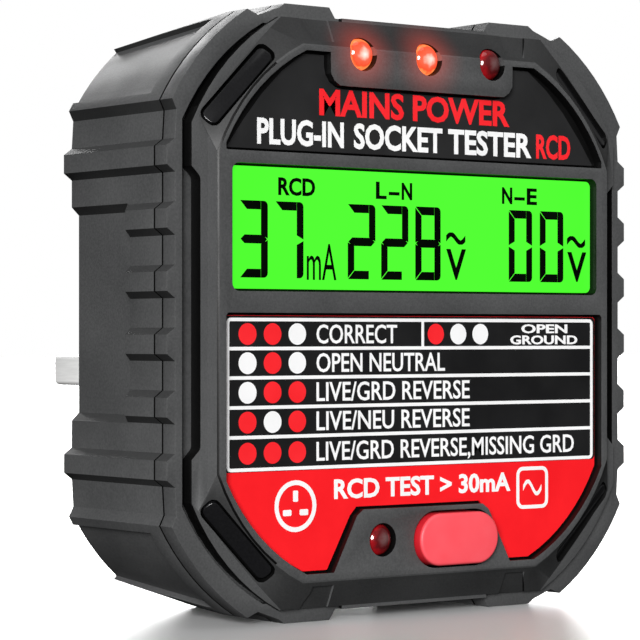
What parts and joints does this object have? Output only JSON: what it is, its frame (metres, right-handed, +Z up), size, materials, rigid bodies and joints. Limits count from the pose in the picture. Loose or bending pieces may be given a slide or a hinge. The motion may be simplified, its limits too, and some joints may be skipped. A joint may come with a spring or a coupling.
{
  "type": "outlet tester plug",
  "caption": "Plug-in mains socket tester: ribbed octagonal case, flat pins, display window, lamps, fault chart and a sliding test button.",
  "frame": {"origin": "middle of the plug face, the flat plane that meets the wall socket", "axes": "+Y into the wall socket along the pins, -Y out of the display face, +Z up, +X to the right seen from the front"},
  "size_m": [0.0704, 0.0681, 0.072],
  "materials": {
    "case_plastic": "fine moulded texture, satin black",
    "gloss_black": "gloss",
    "upper_label_film": "satin printed film",
    "chart_label_film": "satin printed film, a black chart above a red field",
    "display_window": "window lit green from behind",
    "display_glass": "gloss",
    "diffuser": "satin",
    "contact_rubber": "matte",
    "lamp_red": "gloss tinted resin",
    "button_red": "satin",
    "circuit_board": "satin solder mask",
    "component_black": "matte",
    "component_white": "matte",
    "component_yellow": "satin",
    "screw_steel": "satin",
    "pin_brass": "polished",
    "pin_sleeve": "satin"
  },
  "bodies": {
    "housing": {"front_ring": "case_plastic", "face_bezel": "case_plastic", "rear_shell": "case_plastic", "plug_housing": "case_plastic", "corner_insert_upper_left": "gloss_black", "corner_insert_lower_left": "gloss_black", "corner_insert_upper_right": "gloss_black", "corner_insert_lower_right": "gloss_black", "upper_label": "upper_label_film", "fault_chart_label": "chart_label_film", "display_window": "display_window", "display_cell": "display_glass", "display_back_light": "diffuser", "upper_contact_strip": "contact_rubber", "lower_contact_strip": "contact_rubber", "status_lamp_left": "lamp_red", "status_lamp_middle": "lamp_red", "status_lamp_right": "lamp_red", "test_lamp": "lamp_red", "switch_body": "component_black", "display_board": "circuit_board", "mains_board": "circuit_board", "controller_chip": "component_black", "board_header": "component_black", "load_resistor_upper": "component_white", "load_resistor_lower": "component_white", "film_capacitor": "component_yellow", "fuse": "component_white", "case_screw_lower_left": "screw_steel", "case_screw_upper_left": "screw_steel", "case_screw_lower_right": "screw_steel", "case_screw_upper_right": "screw_steel", "display_board_screw_lower_left": "screw_steel", "display_board_screw_upper_left": "screw_steel", "display_board_screw_lower_right": "screw_steel", "display_board_screw_upper_right": "screw_steel", "mains_board_screw_lower_left": "screw_steel", "mains_board_screw_upper_left": "screw_steel", "mains_board_screw_lower_right": "screw_steel", "mains_board_screw_upper_right": "screw_steel", "plug_screw_lower": "screw_steel", "plug_screw_upper": "screw_steel", "pin_carrier": "component_white", "earth_pin": "pin_brass", "live_pin": "pin_brass", "neutral_pin": "pin_brass", "live_pin_sleeve": "pin_sleeve", "neutral_pin_sleeve": "pin_sleeve", "earth_strap": "pin_brass", "live_strap": "pin_brass", "neutral_strap": "pin_brass"},
    "button": {"test_button": "button_red"},
    "plunger": {"switch_plunger": "component_white"}
  },
  "joints": [
    {"name": "button_press", "type": "slide", "parent": "housing", "child": "button", "axis": [0, 1, 0], "range_m": [0, 0.0008], "stiffness_N_per_m": 1500, "springref_m": -0.0003},
    {"name": "plunger_press", "type": "slide", "parent": "housing", "child": "plunger", "axis": [0, 1, 0], "range_m": [0, 0.0008]}
  ],
  "couplings": [
    {"joint": "plunger_press", "follows": "button_press", "ratio": 1}
  ]
}
